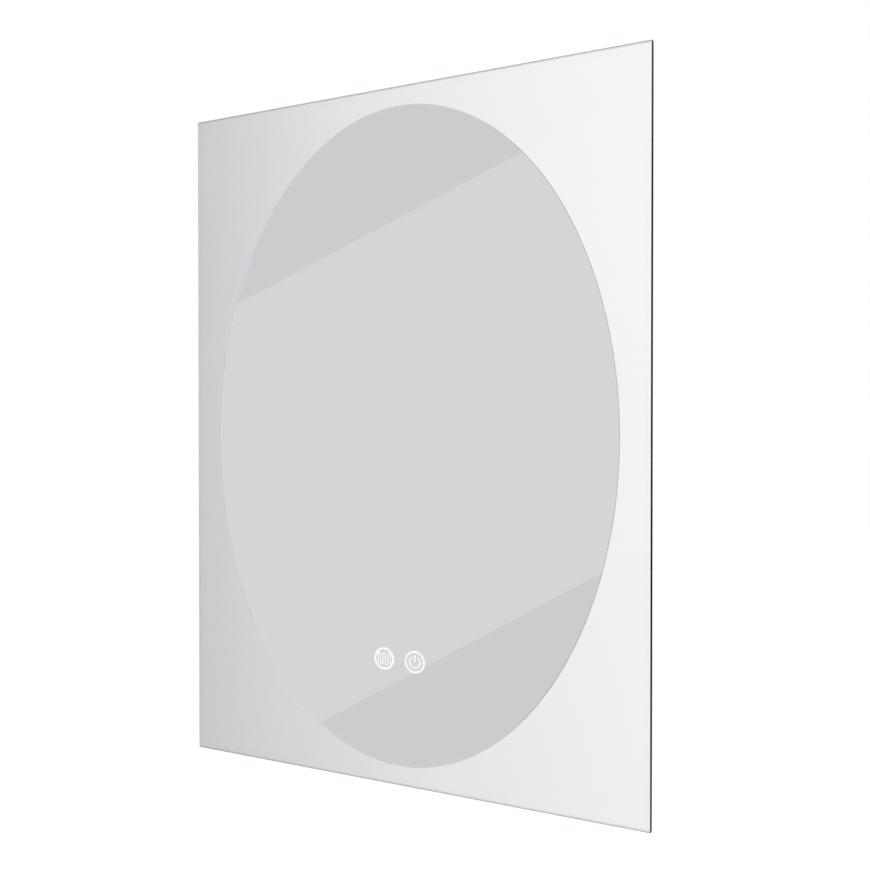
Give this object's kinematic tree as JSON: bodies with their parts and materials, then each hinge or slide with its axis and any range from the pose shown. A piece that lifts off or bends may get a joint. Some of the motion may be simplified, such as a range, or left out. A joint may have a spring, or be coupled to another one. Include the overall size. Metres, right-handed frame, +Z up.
{
  "type": "lighted bathroom mirror",
  "caption": "Rectangular wall mirror with an upright oval silvered field in a frosted, backlit border, a demister pad and touch controls, on a slim chassis that hangs on a wall rail.",
  "frame": {"origin": "midway between the two screw slots of the wall rail, on the wall plane", "axes": "+X to the right seen from the front, +Y into the wall, +Z up; the mirror faces -Y"},
  "size_m": [0.5, 0.035, 0.7],
  "materials": {
    "glass": "clear float glass with arrised edges, slightly green",
    "silver": "silvered, with grey backing paint behind",
    "frosted": "frosted white",
    "icon_white": "translucent white print",
    "foam": "white foam tape",
    "aluminium": "satin anodised extrusion",
    "sheet_steel": "galvanised sheet",
    "zinc": "zinc plated",
    "strip_white": "white solder mask",
    "chip": "phosphor under clear resin, unlit",
    "wire_white": "white insulation",
    "wire_black": "black insulation",
    "wire_brown": "brown insulation",
    "wire_green": "green and yellow insulation",
    "pad_film": "translucent amber film",
    "track": "printed track",
    "circuit_board": "green solder mask",
    "white_plastic": "moulded white",
    "grey_plastic": "moulded grey",
    "black_plastic": "moulded black",
    "brass": "machined",
    "rubber": "soft black rubber"
  },
  "bodies": {
    "wall_rail": {"wall_rail": "sheet_steel"},
    "mirror": {"mirror_glass": "glass", "mirror_silvering": "silver", "frosted_border": "frosted", "power_icon": "icon_white", "demister_icon": "icon_white", "bond_tape": "foam", "frame_top": "aluminium", "frame_bottom": "aluminium", "frame_left": "aluminium", "frame_right": "aluminium", "corner_brackets": "zinc", "corner_screws": "zinc", "back_panel": "sheet_steel", "panel_screws": "zinc", "led_strip_top": "strip_white", "led_strip_bottom": "strip_white", "led_strip_left": "strip_white", "led_strip_right": "strip_white", "led_chips": "chip", "strip_links": "wire_white", "demister_pad": "pad_film", "demister_element": "track", "demister_leads": "wire_black", "touch_board_power": "circuit_board", "touch_board_demister": "circuit_board", "touch_tapes": "foam", "icon_lamps": "chip", "touch_leads": "wire_white", "driver_case": "white_plastic", "driver_lid": "white_plastic", "driver_screws": "zinc", "driver_board": "circuit_board", "driver_connectors": "grey_plastic", "driver_transformer": "black_plastic", "driver_capacitors": "black_plastic", "feed_leads": "wire_white", "wire_clips": "white_plastic", "terminal_box": "grey_plastic", "terminal_cover": "grey_plastic", "terminal_cover_screws": "zinc", "terminal_block": "white_plastic", "terminal_inserts": "brass", "terminal_screws": "zinc", "cord_clamp": "grey_plastic", "cord_clamp_screws": "zinc", "cable_grommet": "rubber", "mains_leads": "wire_brown", "earth_screw": "zinc", "earth_nut": "zinc", "earth_lug": "zinc", "earth_lead": "wire_green", "hanger_rail": "sheet_steel", "hanger_bar": "sheet_steel", "hanger_screws": "zinc", "wall_bumpers": "rubber"}
  },
  "joints": [
    {"name": "lift_off", "type": "slide", "parent": "wall_rail", "child": "mirror", "axis": [0, 0, 1], "range_m": [0, 0.02]}
  ]
}
